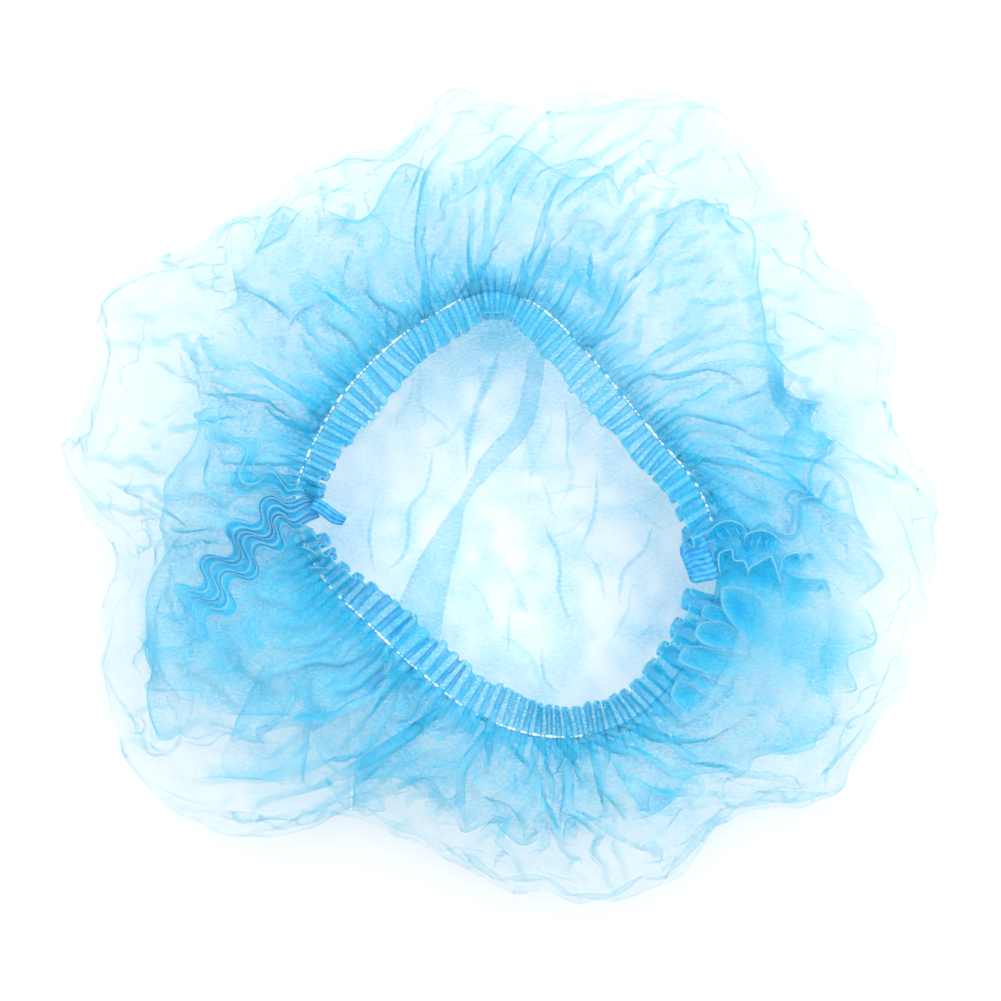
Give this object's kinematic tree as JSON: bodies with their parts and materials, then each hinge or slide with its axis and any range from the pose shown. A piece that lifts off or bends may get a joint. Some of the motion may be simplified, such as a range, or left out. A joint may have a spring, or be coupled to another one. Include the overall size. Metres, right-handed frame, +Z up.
{
  "type": "disposable bouffant cap",
  "caption": "Sheer light-blue non-woven bouffant cap, opened out and lying crown down, with a gathered elastic mouth and accordion-pleated welded ends.",
  "frame": {"origin": "on the floor, under the middle of the crown's outline", "axes": "+X to the right and +Y away along the floor as the cap is seen from above, +Z up through the mouth"},
  "size_m": [0.3408, 0.3181, 0.0561],
  "materials": {
    "nonwoven": "sheer spunbond non-woven, matt",
    "weld": "stacked non-woven pressed and welded",
    "elastic": "white covered elastic thread"
  },
  "bodies": {
    "root": {"crown": "nonwoven", "hem_upper": "nonwoven", "hem_lower": "nonwoven", "elastic_upper": "elastic", "elastic_lower": "elastic", "end_pleats_left": "nonwoven", "end_pleats_right": "nonwoven", "weld_left": "weld", "weld_right": "weld"}
  },
  "joints": []
}
